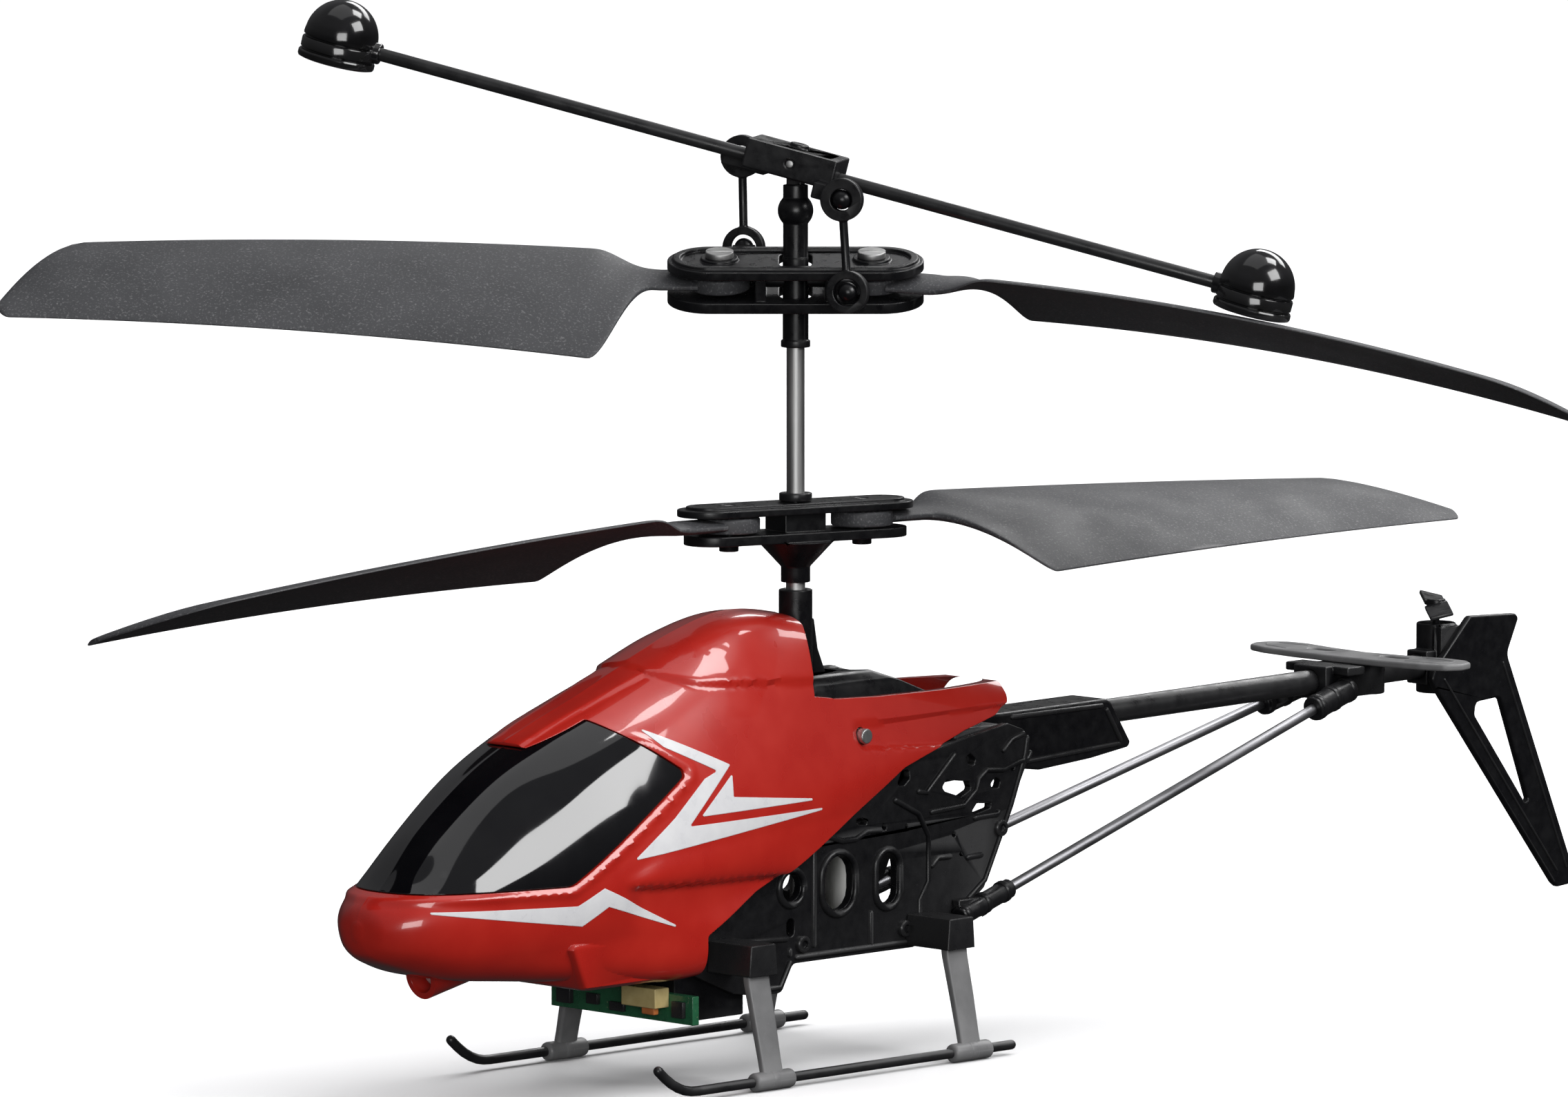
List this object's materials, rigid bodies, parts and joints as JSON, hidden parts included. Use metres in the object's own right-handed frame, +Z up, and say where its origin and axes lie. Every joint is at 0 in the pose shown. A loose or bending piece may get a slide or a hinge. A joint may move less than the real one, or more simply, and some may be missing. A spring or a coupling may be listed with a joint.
{
  "type": "remote control helicopter",
  "caption": "Small indoor toy helicopter with coaxial rotors, weighted flybar, gloss red canopy with black windscreen, skids and a boom tail with fin and stabiliser.",
  "frame": {"origin": "where the mast axis meets the flat underside of the belly between the two motors, 12.1 mm above the ground plane that the feet of the legs stand on", "axes": "+Z up along the mast, -Y towards the nose, +X to the helicopter's left side"},
  "size_m": [0.1321, 0.2152, 0.1182],
  "materials": {
    "red_gloss": "high gloss",
    "window_gloss": "mirror gloss",
    "lamp": "clear water white",
    "black_plastic": "fine moulded satin",
    "grey_plastic": "satin, slightly flexible",
    "blade_plastic": "matt with fine speckle",
    "weight_gloss": "gloss",
    "rod_black": "satin carbon rod",
    "steel": "ground and drawn",
    "rod_silver": "drawn, satin",
    "motor_can": "nickel plated can",
    "gear_plastic": "natural acetal",
    "brass": "turned",
    "battery_wrap": "foil pouch",
    "board": "solder mask",
    "switch_cream": "moulded",
    "switch_orange": "moulded",
    "wire_red": "insulation"
  },
  "bodies": {
    "chassis": {"canopy_shell": "red_gloss", "cockpit_window": "window_gloss", "nose_lamp": "lamp", "deck_cover": "black_plastic", "canopy_screws": "steel", "frame_left": "black_plastic", "frame_right": "black_plastic", "motor_plate": "black_plastic", "gearbox_plate": "black_plastic", "belly_tray": "black_plastic", "battery": "battery_wrap", "circuit_board": "board", "switch_housing": "switch_cream", "front_motor": "motor_can", "rear_motor": "motor_can", "lower_bush": "brass", "mast_tower": "black_plastic", "boom_socket": "black_plastic", "tail_boom": "rod_black", "support_rod_left": "rod_silver", "support_rod_right": "rod_silver", "rod_clips": "black_plastic", "stabiliser": "grey_plastic", "stabiliser_clamp": "black_plastic", "tail_fin": "black_plastic", "tail_motor_tube": "black_plastic", "tail_motor": "motor_can", "tail_wire": "wire_red", "leg_mounts": "black_plastic", "front_legs": "grey_plastic", "rear_legs": "grey_plastic", "skid_left": "black_plastic", "skid_right": "black_plastic"},
    "switch": {"switch_slider": "switch_orange"},
    "front_drive": {"front_pinion": "brass"},
    "rear_drive": {"rear_pinion": "brass"},
    "lower_rotor": {"outer_gear": "gear_plastic", "outer_shaft": "steel", "lower_hub_base": "black_plastic", "lower_hub_cap": "black_plastic", "lower_screws": "steel"},
    "lower_blade_a": {"lower_blade_a": "blade_plastic"},
    "lower_blade_b": {"lower_blade_b": "blade_plastic"},
    "upper_rotor": {"inner_gear": "gear_plastic", "inner_shaft": "steel", "shaft_collar": "black_plastic", "mast_head": "black_plastic"},
    "upper_grip": {"upper_grip_base": "black_plastic", "upper_grip_cap": "black_plastic", "upper_screws": "steel"},
    "upper_blade_a": {"upper_blade_a": "blade_plastic"},
    "upper_blade_b": {"upper_blade_b": "blade_plastic"},
    "flybar": {"flybar_block": "black_plastic", "flybar_pin": "steel", "flybar_rod": "rod_black", "flybar_weights": "weight_gloss"},
    "link_near": {"link_near": "black_plastic"},
    "link_far": {"link_far": "black_plastic"},
    "tail_rotor": {"tail_rotor": "black_plastic"}
  },
  "joints": [
    {"name": "lower_rotor_spin", "type": "hinge", "parent": "chassis", "child": "lower_rotor", "pos_m": [0, 0, 0.04835], "axis": [0, 0, 1], "continuous": true},
    {"name": "upper_rotor_spin", "type": "hinge", "parent": "chassis", "child": "upper_rotor", "pos_m": [0, 0, 0.0754], "axis": [0, 0, 1], "continuous": true},
    {"name": "front_pinion_spin", "type": "hinge", "parent": "chassis", "child": "front_drive", "pos_m": [0, -0.0081, 0.0159], "axis": [0, 0, 1], "continuous": true},
    {"name": "rear_pinion_spin", "type": "hinge", "parent": "chassis", "child": "rear_drive", "pos_m": [0, 0.0081, 0.0189], "axis": [0, 0, 1], "continuous": true},
    {"name": "tail_rotor_spin", "type": "hinge", "parent": "chassis", "child": "tail_rotor", "pos_m": [0, 0.1071, 0.0306], "axis": [0, 0, 1], "continuous": true},
    {"name": "lower_blade_a_fold", "type": "hinge", "parent": "lower_rotor", "child": "lower_blade_a", "pos_m": [0.00234, 0.00817, 0.04835], "axis": [0, 0, 1], "range_deg": [-40, 40]},
    {"name": "lower_blade_b_fold", "type": "hinge", "parent": "lower_rotor", "child": "lower_blade_b", "pos_m": [-0.00234, -0.00817, 0.04835], "axis": [0, 0, 1], "range_deg": [-40, 40]},
    {"name": "flybar_tilt", "type": "hinge", "parent": "upper_rotor", "child": "flybar", "pos_m": [0, 0, 0.0886], "axis": [-0.5402, 0.8415, 0], "range_deg": [-27, 0.1]},
    {"name": "grip_pitch", "type": "hinge", "parent": "upper_rotor", "child": "upper_grip", "pos_m": [0, 0, 0.0754], "axis": [0.7046, 0.7096, 0], "range_deg": [-24, 1.5]},
    {"name": "link_near_swing", "type": "hinge", "parent": "flybar", "child": "link_near", "pos_m": [0.00956, -0.00223, 0.08503], "axis": [-0.5402, 0.8415, 0], "range_deg": [-2, 32]},
    {"name": "link_far_swing", "type": "hinge", "parent": "flybar", "child": "link_far", "pos_m": [-0.0103, 0.00176, 0.08868], "axis": [-0.5402, 0.8415, 0], "range_deg": [-2, 32]},
    {"name": "upper_blade_a_fold", "type": "hinge", "parent": "upper_grip", "child": "upper_blade_a", "pos_m": [0.00599, 0.00603, 0.0754], "axis": [0.1526, -0.1515, 0.9766], "range_deg": [-45, 0.2]},
    {"name": "upper_blade_b_fold", "type": "hinge", "parent": "upper_grip", "child": "upper_blade_b", "pos_m": [-0.00599, -0.00603, 0.0754], "axis": [0.1526, -0.1515, 0.9766], "range_deg": [-35, 35]},
    {"name": "switch_slide", "type": "slide", "parent": "chassis", "child": "switch", "axis": [1, 0, 0], "range_m": [-0.0021, 0]}
  ],
  "couplings": [
    {"joint": "front_pinion_spin", "follows": "upper_rotor_spin", "ratio": -4},
    {"joint": "rear_pinion_spin", "follows": "lower_rotor_spin", "ratio": -4},
    {"joint": "grip_pitch", "follows": "flybar_tilt", "ratio": 0.88},
    {"joint": "link_near_swing", "follows": "flybar_tilt", "ratio": -1.16},
    {"joint": "link_far_swing", "follows": "flybar_tilt", "ratio": -1.16}
  ]
}
